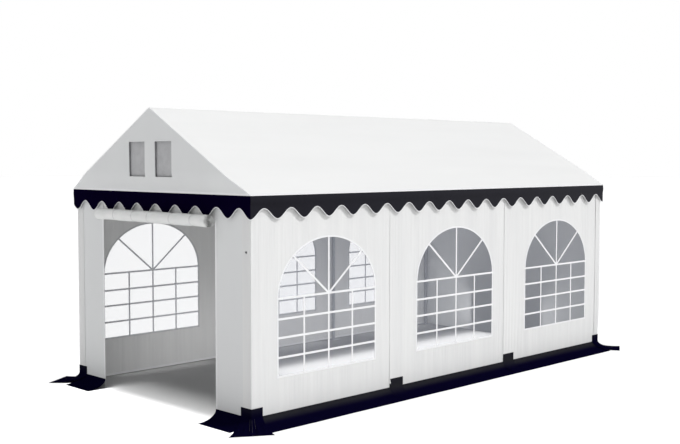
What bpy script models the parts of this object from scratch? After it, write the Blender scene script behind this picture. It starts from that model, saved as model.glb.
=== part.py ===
"""A frame marquee of 3 m by 6 m: PVC covers with arched windows on a steel tube frame.

Metres, +Z up. The origin is on the ground, at the middle of the footprint.
+Y runs along the ridge away from the open door, and +X is the right-hand long side.
"""

import math

import bmesh
import bpy
from mathutils import Matrix, Vector

# Driving dimensions
WIDTH = 3.0
LENGTH = 6.0
BAY = 2.0
EAVE = 2.18
RIDGE = 3.03
OVERHANG = 0.03
SHEET = 0.004
GAP = 0.0003

# Steel frame
TUBE_RADIUS = 0.019
SLEEVE_RADIUS = 0.023
SLEEVE_REACH = 0.09
STUB_STEP = 0.0005
STUB_SHIFT = 0.0058
TUBE_SIDES = 16
FOOT_SIZE = 0.10
FOOT_THICKNESS = 0.006

# Openings in the walls and gables
WINDOW_WIDTH = 1.33
WINDOW_BOTTOM = 0.45
WINDOW_SPRING = 1.19
WINDOW_TOP = 1.745
WINDOW_ARCH_STEPS = 20
FILM_THICKNESS = 0.003
FILM_LAP = 0.02
VENT_INNER = 0.089
VENT_OUTER = 0.37
VENT_BOTTOM = 2.33
VENT_TOP = 2.685
DOOR_HALF = 0.972

# Valance with a scalloped lower edge, in scallops along each face
VALANCE_DROP = 0.23
SCALLOP_DEPTH = 0.10
SIDE_SCALLOPS = 18
END_SCALLOPS = 9.23
SCALLOP_STEPS = 8

# Door rolled up in front of the valance's points
ROLL_RADIUS = 0.0615
ROLL_HEIGHT = 1.924
ROLL_SPAN = (-0.985, 1.055)
ROLL_SIDES = 24
WALL_HEAD = 2.17

# Skirts on the ground, their joint covers and the corner patches
WALL_FOOT = 0.005
SKIRT_TOP = 0.105
SKIRT_REACH = 0.225
SKIRT_STEPS = 8
COVER_WIDTH = 0.21
COVER_TOP = 0.194
PATCH_TOP = 0.19
PATCH_FOLD = 0.16
PATCH_ON_SIDE = 0.135
PATCH_ON_END = 0.151
PATCH_SIDE_TIP = (0.32, -0.01)
PATCH_END_TIP = (0.085, 0.335)
PATCH_COLUMNS = 6

# Derived places
HALF_WIDTH = WIDTH / 2
HALF_LENGTH = LENGTH / 2
ROOF_HALF = HALF_WIDTH + OVERHANG
ROOF_END = HALF_LENGTH + OVERHANG
ROOF_SLOPE = (RIDGE - EAVE) / ROOF_HALF
ROOF_COS = 1 / math.hypot(1, ROOF_SLOPE)
TUBE_INSET = SHEET + GAP + SLEEVE_RADIUS
POST_X = HALF_WIDTH - TUBE_INSET
END_POST_Y = HALF_LENGTH - TUBE_INSET
FRAME_LINES = (-END_POST_Y, -BAY / 2, BAY / 2, END_POST_Y)
ROLL_Y = -(ROOF_END + GAP + ROLL_RADIUS)

# A sheet drawn in X and Y stands up facing an end or a long side
FACING_END = (math.pi / 2, 0, 0)
FACING_SIDE = (math.pi / 2, 0, math.pi / 2)
SIDES = (("right", 1), ("left", -1))
ENDS = (("front", -1), ("back", 1))


def roof_under(x):
    """Height of the roof sheet's underside at a distance x from the ridge line."""
    return RIDGE - ROOF_SLOPE * abs(x) - SHEET / ROOF_COS


def tube_height(x):
    """Height of the frame's centre line under the roof at a distance x from the ridge line."""
    return roof_under(x) - (GAP + SLEEVE_RADIUS) / ROOF_COS


def clear_scene():
    for obj in list(bpy.data.objects):
        bpy.data.objects.remove(obj, do_unlink=True)


def new_collection(name):
    group = bpy.data.collections.new(name)
    bpy.context.scene.collection.children.link(group)
    return group


def new_material(name, colour, roughness, metallic=0.0, alpha=1.0):
    material = bpy.data.materials.new(name)
    material.use_nodes = True
    shader = material.node_tree.nodes["Principled BSDF"]
    shader.inputs["Base Color"].default_value = (*colour, 1.0)
    shader.inputs["Roughness"].default_value = roughness
    shader.inputs["Metallic"].default_value = metallic
    shader.inputs["Alpha"].default_value = alpha
    material.diffuse_color = (*colour, alpha)
    return material


clear_scene()
PARTS = new_collection("marquee_tent")
JOINED = new_collection("joined_shapes")

ROOF_WHITE = new_material("roof_white", (0.84, 0.84, 0.85), 0.45)
WALL_WHITE = new_material("wall_white", (0.78, 0.78, 0.79), 0.50)
TRIM_BLACK = new_material("trim_black", (0.012, 0.011, 0.022), 0.42)
WINDOW_FILM = new_material("window_film", (0.72, 0.74, 0.78), 0.12, alpha=0.35)
VENT_MESH = new_material("vent_mesh", (0.42, 0.43, 0.45), 0.75)
FRAME_STEEL = new_material("frame_steel", (0.55, 0.56, 0.58), 0.38, metallic=1.0)


def place(obj, material, location=(0, 0, 0), rotation=(0, 0, 0), group=PARTS):
    obj.data.materials.append(material)
    obj.location = location
    obj.rotation_euler = rotation
    group.objects.link(obj)
    return obj


def curve_data(name, outlines, cyclic):
    """Curve data with one straight-edged spline for each outline, given in two or three axes."""
    curve = bpy.data.curves.new(name, "CURVE")
    curve.dimensions = "3D"
    for outline in outlines:
        spline = curve.splines.new("POLY")
        spline.points.add(len(outline) - 1)
        for point, spot in zip(spline.points, outline):
            point.co = (*Vector(spot).to_3d(), 1.0)
        spline.use_cyclic_u = cyclic
    return curve


def flat_sheet(name, outlines, thickness, material, location, rotation):
    """A flat sheet, centred on its plane. The first outline is its edge and the others are holes."""
    curve = curve_data(name, outlines, cyclic=True)
    curve.dimensions = "2D"
    curve.fill_mode = "BOTH"
    curve.extrude = thickness / 2
    return place(bpy.data.objects.new(name, curve), material, location, rotation)


def rectangle(left, right, bottom, top):
    return [(left, bottom), (right, bottom), (right, top), (left, top)]


def arched_outline(lap=0.0):
    """The outline of a window about its own middle, grown by a lap on every side."""
    half = WINDOW_WIDTH / 2 + lap
    rise = WINDOW_TOP - WINDOW_SPRING + lap
    turns = [math.pi * step / WINDOW_ARCH_STEPS for step in range(WINDOW_ARCH_STEPS + 1)]
    arch = [(half * math.cos(turn), WINDOW_SPRING + rise * math.sin(turn)) for turn in turns]
    return [(-half, WINDOW_BOTTOM - lap), (half, WINDOW_BOTTOM - lap)] + arch


def tube(name, start, end):
    """A straight frame tube between two points."""
    curve = curve_data(name, [(start, end)], cyclic=False)
    curve.fill_mode = "FULL"
    curve.bevel_depth = TUBE_RADIUS
    curve.bevel_resolution = (TUBE_SIDES - 4) // 2
    curve.use_fill_caps = True
    return place(bpy.data.objects.new(name, curve), FRAME_STEEL)


def rod(name, start, end, radius, sides, material, group=PARTS):
    """A round mesh rod between two points, which can be joined to others."""
    start, end = Vector(start), Vector(end)
    bm = bmesh.new()
    bmesh.ops.create_cone(
        bm,
        cap_ends=True,
        segments=sides,
        radius1=radius,
        radius2=radius,
        depth=(end - start).length,
    )
    mesh = bpy.data.meshes.new(name)
    bm.to_mesh(mesh)
    bm.free()
    turn = (end - start).to_track_quat("Z", "X").to_euler()
    return place(bpy.data.objects.new(name, mesh), material, (start + end) / 2, turn, group)


def block(name, low, high, material, group=PARTS):
    """A box between two corners."""
    low, high = Vector(low), Vector(high)
    bm = bmesh.new()
    bmesh.ops.create_cube(bm, size=1.0, matrix=Matrix.Diagonal((*(high - low), 1.0)))
    mesh = bpy.data.meshes.new(name)
    bm.to_mesh(mesh)
    bm.free()
    return place(bpy.data.objects.new(name, mesh), material, (low + high) / 2, group=group)


def join(obj, *others):
    """Fuse other shapes into an object, so that it is one closed body."""
    for other in others:
        other.hide_render = True
        other.display_type = "WIRE"
        union = obj.modifiers.new(other.name, "BOOLEAN")
        union.operation = "UNION"
        union.solver = "EXACT"
        union.object = other
    return obj


def sleeve(name, start, end, step=0):
    """A length of a fitting. Those that cross at one point differ in radius and start by a step."""
    first = towards(start, end, step * STUB_SHIFT)
    return rod(name, first, end, SLEEVE_RADIUS - step * STUB_STEP, TUBE_SIDES, FRAME_STEEL, JOINED)


def towards(start, end, distance):
    """The point at a distance from start on the way to end."""
    start, end = Vector(start), Vector(end)
    return start + (end - start).normalized() * distance


def make_posts():
    """One post on a flat foot at each frame line, under the stub of its fitting."""
    post_top = tube_height(POST_X) - SLEEVE_REACH - GAP
    outer = SLEEVE_RADIUS
    for side, sign in SIDES:
        x = sign * POST_X
        for number, y in enumerate(FRAME_LINES, start=1):
            ends = (x, y, FOOT_THICKNESS / 2), (x, y, post_top)
            post = rod(f"post_{side}_{number}", *ends, TUBE_RADIUS, TUBE_SIDES, FRAME_STEEL)
            far_x = x - sign * (FOOT_SIZE - outer)
            near_x = x + sign * outer
            low_y, high_y = y - FOOT_SIZE / 2, y + FOOT_SIZE / 2
            if abs(y) == END_POST_Y:
                inward = -math.copysign(1, y)
                low_y, high_y = sorted((y - inward * outer, y + inward * (FOOT_SIZE - outer)))
            low = (min(near_x, far_x), low_y, 0)
            high = (max(near_x, far_x), high_y, FOOT_THICKNESS)
            join(post, block(f"foot_{side}_{number}", low, high, FRAME_STEEL, JOINED))


def line_span(y):
    """The stretch along Y that the sleeve of a fitting covers at a frame line."""
    low, high = y - SLEEVE_REACH, y + SLEEVE_REACH
    if y == FRAME_LINES[0]:
        low = y - SLEEVE_RADIUS
    if y == FRAME_LINES[-1]:
        high = y + SLEEVE_RADIUS
    return low, high


def make_rails():
    """The eave rails and the ridge rail, each with the fittings that take the posts and rafters."""
    ridge = (0, tube_height(0))
    for side, sign in SIDES:
        x, z = sign * POST_X, tube_height(POST_X)
        shapes = []
        for number, y in enumerate(FRAME_LINES, start=1):
            tag = f"{side}_{number}"
            low, high = line_span(y)
            middle = (x, y, z)
            uphill = towards(middle, (ridge[0], y, ridge[1]), SLEEVE_REACH)
            shapes.append(sleeve(f"eave_sleeve_{tag}", (x, low, z), (x, high, z)))
            shapes.append(sleeve(f"post_stub_{tag}", middle, (x, y, z - SLEEVE_REACH), step=1))
            shapes.append(sleeve(f"rafter_stub_{tag}", middle, uphill, step=2))
            if abs(y) == END_POST_Y:
                shapes.append(sleeve(f"bar_stub_{tag}", middle, (x - sign * SLEEVE_REACH, y, z), step=3))
        ends = (x, -END_POST_Y, z), (x, END_POST_Y, z)
        rail = rod(f"eave_rail_{side}", *ends, TUBE_RADIUS, TUBE_SIDES, FRAME_STEEL)
        join(rail, *shapes)
    shapes = []
    for number, y in enumerate(FRAME_LINES, start=1):
        low, high = line_span(y)
        middle = (ridge[0], y, ridge[1])
        shapes.append(sleeve(f"ridge_sleeve_{number}", (0, low, ridge[1]), (0, high, ridge[1])))
        for side, sign in SIDES:
            downhill = towards(middle, (sign * POST_X, y, tube_height(POST_X)), SLEEVE_REACH)
            step = 1 if side == "right" else 2
            shapes.append(sleeve(f"ridge_stub_{side}_{number}", middle, downhill, step))
    ends = (0, -END_POST_Y, ridge[1]), (0, END_POST_Y, ridge[1])
    rail = rod("ridge_rail", *ends, TUBE_RADIUS, TUBE_SIDES, FRAME_STEEL)
    join(rail, *shapes)


def make_rafters():
    """Two rafters at each frame line, between the stubs of the eave and ridge fittings."""
    seat = SLEEVE_REACH + GAP
    for side, sign in SIDES:
        for number, y in enumerate(FRAME_LINES, start=1):
            eave = (sign * POST_X, y, tube_height(POST_X))
            ridge = (0, y, tube_height(0))
            tube(f"rafter_{side}_{number}", towards(eave, ridge, seat), towards(ridge, eave, seat))


def make_gable_bars():
    """The cross bar at eave height at each end."""
    half = POST_X - SLEEVE_REACH - GAP
    for end, sign in ENDS:
        y, z = sign * END_POST_Y, tube_height(POST_X)
        tube(f"gable_bar_{end}", (-half, y, z), (half, y, z))


def make_roof():
    """Two sloping sheets that meet at the ridge, drawn as a section and run along Y."""
    for side, sign in SIDES:
        near, far = GAP / 2, ROOF_HALF
        section = [
            (sign * near, roof_under(near)),
            (sign * far, roof_under(far)),
            (sign * far, EAVE),
            (sign * near, RIDGE - ROOF_SLOPE * near),
        ]
        flat_sheet(f"roof_{side}", [section], 2 * ROOF_END, ROOF_WHITE, (0, 0, 0), FACING_END)


def make_gables():
    """Triangular end sheets with two vents each, and the mesh behind the vents."""
    base = roof_under(ROOF_HALF)
    peak = roof_under(0) - GAP / ROOF_COS
    half = (peak - base) / ROOF_SLOPE
    triangle = [(-half, base), (half, base), (0, peak)]
    vents = []
    for _, sign in SIDES:
        left, right = sorted((sign * VENT_INNER, sign * VENT_OUTER))
        vents.append(rectangle(left, right, VENT_BOTTOM, VENT_TOP))
    reach = VENT_OUTER + FILM_LAP
    screen = rectangle(-reach, reach, VENT_BOTTOM - FILM_LAP, VENT_TOP + FILM_LAP)
    for end, sign in ENDS:
        middle = sign * (ROOF_END - SHEET / 2)
        flat_sheet(f"gable_{end}", [triangle, *vents], SHEET, WALL_WHITE, (0, middle, 0), FACING_END)
        behind = sign * (ROOF_END - SHEET - GAP - FILM_THICKNESS / 2)
        flat_sheet(f"vent_screen_{end}", [screen], FILM_THICKNESS, VENT_MESH, (0, behind, 0), FACING_END)


def scalloped_outline(half, scallops, started=0.0):
    """A band whose lower edge is a wave, with a share of one scallop already past at +half."""
    top = roof_under(ROOF_HALF) - GAP
    low = EAVE - VALANCE_DROP
    steps = math.ceil(scallops * SCALLOP_STEPS)
    edge = []
    for step in range(steps + 1):
        turn = 2 * math.pi * (started + scallops * step / steps)
        rise = (1 - math.cos(turn)) / 2
        edge.append((half - 2 * half * step / steps, low + SCALLOP_DEPTH * rise))
    return edge + [(-half, top), (half, top)]


def make_valances():
    """The band hanging from the roof's edge: across both ends, and between them on the sides.

    The wave is lowest at the right-hand corners, and meets itself round the left-hand ones.
    """
    ends = scalloped_outline(ROOF_HALF, END_SCALLOPS)
    past = math.floor(END_SCALLOPS) - END_SCALLOPS
    for end, sign in ENDS:
        middle = sign * (ROOF_END - SHEET / 2)
        flat_sheet(f"valance_{end}", [ends], SHEET, TRIM_BLACK, (0, middle, 0), FACING_END)
    for side, sign in SIDES:
        started = 0.0 if sign > 0 else past
        band = scalloped_outline(ROOF_END - SHEET - GAP, SIDE_SCALLOPS, started)
        middle = sign * (ROOF_HALF - SHEET / 2)
        flat_sheet(f"valance_{side}", [band], SHEET, TRIM_BLACK, (middle, 0, 0), FACING_SIDE)


def make_side_walls():
    """Three panels a side, each with an arched opening closed by clear film on its inner face."""
    top = roof_under(HALF_WIDTH) - GAP / ROOF_COS
    bays = round(LENGTH / BAY)
    for side, sign in SIDES:
        wall_x = sign * (HALF_WIDTH - SHEET / 2)
        film_x = sign * (HALF_WIDTH - SHEET - GAP - FILM_THICKNESS / 2)
        for bay in range(bays):
            middle = BAY * (bay - (bays - 1) / 2)
            start = -BAY / 2 + (GAP / 2 if bay > 0 else 0)
            stop = BAY / 2 - (GAP / 2 if bay < bays - 1 else 0)
            panel = [rectangle(start, stop, WALL_FOOT, top), arched_outline()]
            film = [arched_outline(FILM_LAP)]
            tag = f"{side}_{bay + 1}"
            at_wall, at_film = (wall_x, middle, 0), (film_x, middle, 0)
            flat_sheet(f"side_wall_{tag}", panel, SHEET, WALL_WHITE, at_wall, FACING_SIDE)
            flat_sheet(f"window_{tag}", film, FILM_THICKNESS, WINDOW_FILM, at_film, FACING_SIDE)


def make_end_walls():
    """Fixed panels beside the open door at the front, and one closed wall at the back."""
    corner = HALF_WIDTH - SHEET - GAP
    middle = HALF_LENGTH - SHEET / 2
    for side, sign in SIDES:
        panel = rectangle(*sorted((sign * DOOR_HALF, sign * corner)), WALL_FOOT, WALL_HEAD)
        flat_sheet(f"front_wall_{side}", [panel], SHEET, WALL_WHITE, (0, -middle, 0), FACING_END)
    panel = rectangle(-corner, corner, WALL_FOOT, WALL_HEAD)
    flat_sheet("back_wall", [panel], SHEET, WALL_WHITE, (0, middle, 0), FACING_END)


def make_door_roll():
    """The rolled-up door: its head hangs behind the valance and passes under it to the roll."""
    half = DOOR_HALF - GAP
    head_low = (-half, -HALF_LENGTH, ROLL_HEIGHT)
    head_high = (half, -HALF_LENGTH + SHEET, WALL_HEAD)
    door = block("door_roll", head_low, head_high, WALL_WHITE)
    web_low = (max(-half, ROLL_SPAN[0]) + SHEET, ROLL_Y, ROLL_HEIGHT - SHEET / 2)
    web_high = (half - SHEET, -HALF_LENGTH + SHEET / 2, ROLL_HEIGHT + SHEET / 2)
    web = block("door_web", web_low, web_high, WALL_WHITE, JOINED)
    ends = [(x, ROLL_Y, ROLL_HEIGHT) for x in ROLL_SPAN]
    join(door, web, rod("roll", *ends, ROLL_RADIUS, ROLL_SIDES, WALL_WHITE, JOINED))


def flare(reach, top, upright_to, offset):
    """A section that drops down the wall and sweeps out to lie on the ground, as (out, up) points.

    It leaves the wall at the height upright_to, and starts above that at top.
    """
    rest = SHEET / 2 + max(offset - GAP - SHEET / 2, 0)
    points = [] if upright_to == top else [(offset, top)]
    for step in range(SKIRT_STEPS + 1):
        turn = math.pi / 2 * step / SKIRT_STEPS
        out = offset + (reach - offset) * (1 - math.cos(turn))
        up = rest + (upright_to - rest) * (1 - math.sin(turn))
        points.append((out, up))
    return points


def strip(name, section, length, location, rotation, group):
    """A sheet that follows a section of (out, up) points and runs straight for a length."""
    curve = curve_data(name, [section], cyclic=False)
    curve.dimensions = "2D"
    curve.fill_mode = "NONE"
    curve.extrude = length / 2
    guide = place(bpy.data.objects.new(name, curve), TRIM_BLACK, group=group)
    mesh = bpy.data.meshes.new_from_object(guide.evaluated_get(bpy.context.evaluated_depsgraph_get()))
    bpy.data.objects.remove(guide)
    ribbon = bpy.data.objects.new(name, mesh)
    mesh.materials.clear()
    place(ribbon, TRIM_BLACK, location, rotation, group)
    shell = ribbon.modifiers.new("thickness", "SOLIDIFY")
    shell.thickness = SHEET
    shell.offset = 0
    shell.use_even_offset = True
    return ribbon


def facing_out(direction):
    """Rotation that turns a section of (out, up) points to face a direction given in degrees."""
    return (math.pi / 2, 0, math.radians(direction))


def make_skirts():
    """The skirts sewn round the foot of the walls, with a cover over each joint on the long sides."""
    offset = GAP + SHEET / 2
    plain = flare(SKIRT_REACH, SKIRT_TOP, SKIRT_TOP, offset)
    cover = flare(SKIRT_REACH, COVER_TOP, SKIRT_TOP, offset + SHEET / 2)
    bpy.context.view_layer.update()
    for side, sign in SIDES:
        turn = facing_out(0 if sign > 0 else 180)
        x = sign * HALF_WIDTH
        skirt = strip(f"skirt_{side}", plain, LENGTH, (x, 0, 0), turn, PARTS)
        for number, y in enumerate(FRAME_LINES[1:3], start=1):
            join(skirt, strip(f"cover_{side}_{number}", cover, COVER_WIDTH, (x, y, 0), turn, JOINED))
        door_side = (sign * (DOOR_HALF + HALF_WIDTH) / 2, -HALF_LENGTH, 0)
        strip(f"skirt_front_{side}", plain, HALF_WIDTH - DOOR_HALF, door_side, facing_out(-90), PARTS)
    strip("skirt_back", plain, WIDTH, (0, HALF_LENGTH, 0), facing_out(90), PARTS)


def make_corner_patches():
    """A patch round each corner, from a band on both walls down to a straight cut on the ground.

    Each column runs from a head on the wall to a tip on the cut, and its section gives the share
    of the way out at each height.
    """
    out = GAP + SHEET / 2
    corner = (out, out)
    on_side = (out, -PATCH_ON_SIDE)
    on_end = (-PATCH_ON_END, out)
    columns = []
    for step in range(2 * PATCH_COLUMNS + 1):
        share = step / (2 * PATCH_COLUMNS)
        if share <= 0.5:
            head = Vector(on_side).lerp(Vector(corner), 2 * share)
        else:
            head = Vector(corner).lerp(Vector(on_end), 2 * share - 1)
        tip = Vector(PATCH_SIDE_TIP).lerp(Vector(PATCH_END_TIP), share)
        columns.append((head, tip))
    section = flare(1.0, PATCH_TOP, PATCH_FOLD, 0.0)
    for end, sign_y in ENDS:
        for side, sign_x in SIDES:
            bm = bmesh.new()
            rows = []
            for share_out, up in section:
                points = [head.lerp(tip, share_out) for head, tip in columns]
                rows.append([bm.verts.new((sign_x * point.x, sign_y * point.y, up)) for point in points])
            for upper, lower in zip(rows, rows[1:]):
                for left in range(len(columns) - 1):
                    bm.faces.new((upper[left], upper[left + 1], lower[left + 1], lower[left]))
            name = f"corner_patch_{end}_{side}"
            mesh = bpy.data.meshes.new(name)
            bm.to_mesh(mesh)
            bm.free()
            location = (sign_x * HALF_WIDTH, sign_y * HALF_LENGTH, 0)
            patch = place(bpy.data.objects.new(name, mesh), TRIM_BLACK, location)
            shell = patch.modifiers.new("thickness", "SOLIDIFY")
            shell.thickness = SHEET
            shell.offset = 0
            shell.use_even_offset = True


make_posts()
make_rails()
make_rafters()
make_gable_bars()
make_roof()
make_gables()
make_valances()
make_side_walls()
make_end_walls()
make_door_roll()
make_skirts()
make_corner_patches()
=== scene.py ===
"""Looks of a frame marquee: PVC covers with clear windows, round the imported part's steel frame.

Metres, in the part's own frame: +X is the right-hand long side, the open door faces -Y, +Z is up.
"""

import math

import bpy
from mathutils import Matrix, Vector, noise
from mathutils.geometry import delaunay_2d_cdt


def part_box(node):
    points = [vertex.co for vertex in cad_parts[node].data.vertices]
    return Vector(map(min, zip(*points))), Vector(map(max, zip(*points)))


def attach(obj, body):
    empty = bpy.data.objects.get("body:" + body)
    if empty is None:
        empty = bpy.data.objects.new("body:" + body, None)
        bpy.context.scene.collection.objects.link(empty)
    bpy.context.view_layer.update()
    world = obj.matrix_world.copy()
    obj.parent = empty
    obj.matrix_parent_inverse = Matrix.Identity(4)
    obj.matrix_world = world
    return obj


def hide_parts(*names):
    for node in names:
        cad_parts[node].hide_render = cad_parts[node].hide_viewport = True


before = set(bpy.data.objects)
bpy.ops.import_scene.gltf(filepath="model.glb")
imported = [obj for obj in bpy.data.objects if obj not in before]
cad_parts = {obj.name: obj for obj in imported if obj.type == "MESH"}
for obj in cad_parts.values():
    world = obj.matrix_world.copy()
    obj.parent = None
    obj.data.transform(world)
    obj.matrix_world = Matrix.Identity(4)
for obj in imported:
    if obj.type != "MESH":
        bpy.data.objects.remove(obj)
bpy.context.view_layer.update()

# Camera, fitted to the photograph
CAMERA_PLACE = (8.864, -9.189, 2.506)
CAMERA_YAW = math.radians(45.073)
CAMERA_PITCH = math.radians(3.419)
CAMERA_ROLL = math.radians(0.068)
CAMERA_LENS = 55.40

# Light, set to the photograph's levels. The glows are in watts
SKY_STRENGTH = 0.30
FLOOR_TONE = 0.50
INNER_GLOW = 50.0
WALL_GLOW = 9.5

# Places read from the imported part
ROOF_HALF, ROOF_END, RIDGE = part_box("roof_right")[1]
WALL_X, _, WALL_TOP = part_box("side_wall_right_1")[1]
WALL_Y = -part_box("front_wall_right")[0].y
WALL_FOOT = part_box("front_wall_right")[0].z
DOOR_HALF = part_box("front_wall_right")[0].x
END_WALL_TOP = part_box("front_wall_right")[1].z
VALANCE_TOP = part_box("valance_right")[1].z
VALANCE_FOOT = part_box("valance_right")[0].z
BAY_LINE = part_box("side_wall_right_2")[1].y
ROLL_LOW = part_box("door_roll")[0]
FILM_LAP = 0.02
WINDOW_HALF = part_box("window_right_2")[1].y - FILM_LAP
WINDOW_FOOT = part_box("window_right_2")[0].z + FILM_LAP
WINDOW_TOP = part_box("window_right_2")[1].z - FILM_LAP
SKIRT_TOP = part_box("skirt_back")[1].z
SKIRT_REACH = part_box("skirt_back")[1].y - WALL_Y
COVER_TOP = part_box("skirt_right")[1].z
PATCH_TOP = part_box("corner_patch_front_right")[1].z

# Cloth
PVC = 0.0012
TRIM_PVC = 0.0015
CLEAR = 0.0004
HEM = 0.0012

# Roof
EAVE = 2.18
RIDGE_BEND = 0.0273
ROOF_SLOPE = math.atan2(RIDGE - EAVE, ROOF_HALF)
ROOF_SAG = 0.006
END_SWELL = 0.038
EAVE_HEM = 0.022
EAVE_FOLD = 0.006
END_PIPING = 0.0045

# Gables
GABLE_FACE = ROOF_END - 0.001
VENT_INNER = 0.089
VENT_OUTER = 0.37
VENT_FOOT = 2.33
VENT_TOP = 2.685
VENT_DEPTH = 0.022
VENT_BORDER = 0.014
VENTS = ((VENT_INNER, VENT_OUTER), (-VENT_OUTER, -VENT_INNER))

# Valance
SIDE_SCALLOPS = 18
END_SCALLOPS = 9.23
SCALLOP_DEPTH = 0.10
SCALLOP_STEPS = 20
BINDING = 0.0058

# Walls
CORNER_BEND = 0.006
CORNER_PROUD = 0.0017
CORNER_WRAP = 0.116
SEAM_FLAP = (-0.105, 0.015)
CORNER_FLAP = (2.905, 3.07)
FLAP_SLACK = 0.016
WINDOW_SPRING = 1.19
ARCH_STEPS = 28
ARCH_PITCH = 0.08
WINDOW_BARS = (0.994, 0.815, 0.626)
WINDOW_RAYS = (0, 40, 90, 140, 180)
FRAME_EDGE = 0.017
BAR_HALF = 0.0105
BAR_DEPTH = 0.0012
FOOT_HEM = 0.026
DOOR_ZIP = 0.022

# Rolled door
ROLL_RADIUS = 0.0615
ROLL_CORE = 0.012
ROLL_TURNS = 8.0
ROLL_X = (-0.925, 0.995)
ROLL_Y = ROLL_LOW.y + ROLL_RADIUS
ROLL_Z = ROLL_LOW.z + ROLL_RADIUS
ROLL_TIES = (-0.57, -0.229, 0.041, 0.415, 0.757)
TIE_WIDTH = 0.016

# Corner patches, as offsets from the corner. Each lies on the ground with tips of its own.
# The flat size is a rounded guess
PATCH_FOLD = 0.112
PATCH_UPRIGHT = 0.22
PATCH_ON_SIDE = 0.135
PATCH_ON_END = 0.151
PATCH_TIPS = {
    "front_right": ((0.297, -0.026), (0.072, 0.328)),
    "back_right": ((0.307, 0.047), (0.126, 0.358)),
    "front_left": ((0.350, -0.035), (0.160, 0.305)),
    "back_left": ((0.310, -0.010), (0.090, 0.335)),
}
# Where the grey cords of painted highlight run down the gathers of each corner patch, as (u, the v where each
# stops).
PATCH_STREAKS = ((0.37, 0.66), (0.48, 0.84), (0.57, 0.72))
COVER_WIDTH = 0.21

# Small fittings
EYELET = (1.435, 1.647)
EYELET_RADIUS = 0.010

SIDES = (("right", 1), ("left", -1))
ENDS = (("front", -1), ("back", 1))
BAYS = ((1, -WALL_Y, -BAY_LINE), (2, -BAY_LINE, BAY_LINE), (3, BAY_LINE, WALL_Y))
BAY_JOINTS = ((1, -BAY_LINE), (2, BAY_LINE))


def drift(seed, *scaled):
    """Smooth noise from about -1 to 1 at a point given in lumps."""
    return noise.noise(Vector((*scaled, 0.0, 0.0)[:3]) + Vector((seed * 7.3, seed * 3.1, seed * 5.7)))


def smooth(share):
    """An ease from 0 to 1, held flat outside."""
    share = min(max(share, 0.0), 1.0)
    return share * share * (3 - 2 * share)


def lerp(start, stop, share):
    return start + (stop - start) * share


def on_plane(sign, base, end=False):
    """Places at a length along a long side or an end of the tent, out from its plane and up."""

    def place(along, out, up):
        across = sign * (base + out)
        return (along, across, up) if end else (across, along, up)

    return place


# Materials


def set_values(node, sockets):
    for name, value in sockets.items():
        node.inputs[name].default_value = value


def add_node(tree, kind, sockets):
    node = tree.nodes.new(kind)
    set_values(node, sockets)
    return node


def noise_texture(tree, coordinates, stretch, detail=4.0, roughness=0.55):
    """Noise whose lumps measure 1 / stretch metres along X, Y and Z."""
    mapping = add_node(tree, "ShaderNodeMapping", {"Scale": stretch})
    tree.links.new(coordinates, mapping.inputs["Vector"])
    values = {"Scale": 1.0, "Detail": detail, "Roughness": roughness}
    texture = add_node(tree, "ShaderNodeTexNoise", values)
    tree.links.new(mapping.outputs["Vector"], texture.inputs["Vector"])
    return texture.outputs["Fac"]


def remap(tree, value, low, high):
    """Noise, which keeps near the middle, spread from low to high."""
    values = {"From Min": 0.3, "From Max": 0.7, "To Min": low, "To Max": high}
    node = add_node(tree, "ShaderNodeMapRange", values)
    tree.links.new(value, node.inputs["Value"])
    return node.outputs["Result"]


def bump(tree, height, distance, strength, below=None):
    node = add_node(tree, "ShaderNodeBump", {"Strength": strength, "Distance": distance})
    tree.links.new(height, node.inputs["Height"])
    if below is not None:
        tree.links.new(below, node.inputs["Normal"])
    return node.outputs["Normal"]


def math_node(tree, kind, operation, *values):
    node = tree.nodes.new(kind)
    node.operation = operation
    for value, socket in zip(values, node.inputs):
        tree.links.new(value, socket)
    return node


def weave(tree, coordinates, pitch):
    """Threads crossing along all three axes, as the scrim inside coated cloth shows."""
    kind = "ShaderNodeVectorMath"
    scaled = math_node(tree, kind, "SCALE", coordinates)
    scaled.inputs["Scale"].default_value = 2 * math.pi / pitch
    waved = math_node(tree, kind, "SINE", scaled.outputs[0])
    summed = math_node(tree, kind, "DOT_PRODUCT", waved.outputs[0])
    summed.inputs[1].default_value = (1.0, 1.0, 1.0)
    return summed.outputs["Value"]


def creased(tree, coordinates, streak, crease, thread):
    """Soft creases drawn out along one axis, with the scrim's threads over them."""
    folds = noise_texture(tree, coordinates, streak, detail=5.0, roughness=0.5)
    return bump(tree, weave(tree, coordinates, thread), 0.0002, 0.15, bump(tree, folds, 0.012, crease))


def new_material(name):
    material = bpy.data.materials.new(name)
    material.use_nodes = True
    tree = material.node_tree
    shader = tree.nodes["Principled BSDF"]
    coordinates = tree.nodes.new("ShaderNodeTexCoord").outputs["Object"]
    return material, tree, shader, coordinates


def tint(tree, shader, share, light, dark):
    """Base colour between two tones by a share."""
    mix = tree.nodes.new("ShaderNodeMix")
    mix.data_type = "RGBA"
    set_values(mix, {"A": (*dark, 1.0), "B": (*light, 1.0)})
    tree.links.new(share, mix.inputs["Factor"])
    tree.links.new(mix.outputs["Result"], shader.inputs["Base Color"])


def coated_cloth(name, light, dark, roughness, streak, specular=0.3, crease=0.12, thread=0.004):
    """PVC-coated cloth: faint tonal drift, soft creases drawn out along one axis, and its scrim."""
    material, tree, shader, coordinates = new_material(name)
    shader.inputs["Specular IOR Level"].default_value = specular
    drifting = noise_texture(tree, coordinates, [0.4 * s for s in streak])
    tint(tree, shader, remap(tree, drifting, 0.0, 1.0), light, dark)
    grain = noise_texture(tree, coordinates, (180, 180, 180), detail=2.0)
    rough = remap(tree, grain, roughness - 0.05, roughness + 0.05)
    tree.links.new(rough, shader.inputs["Roughness"])
    normal = bump(tree, grain, 0.0004, 0.10, creased(tree, coordinates, streak, crease, thread))
    tree.links.new(normal, shader.inputs["Normal"])
    return material


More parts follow.
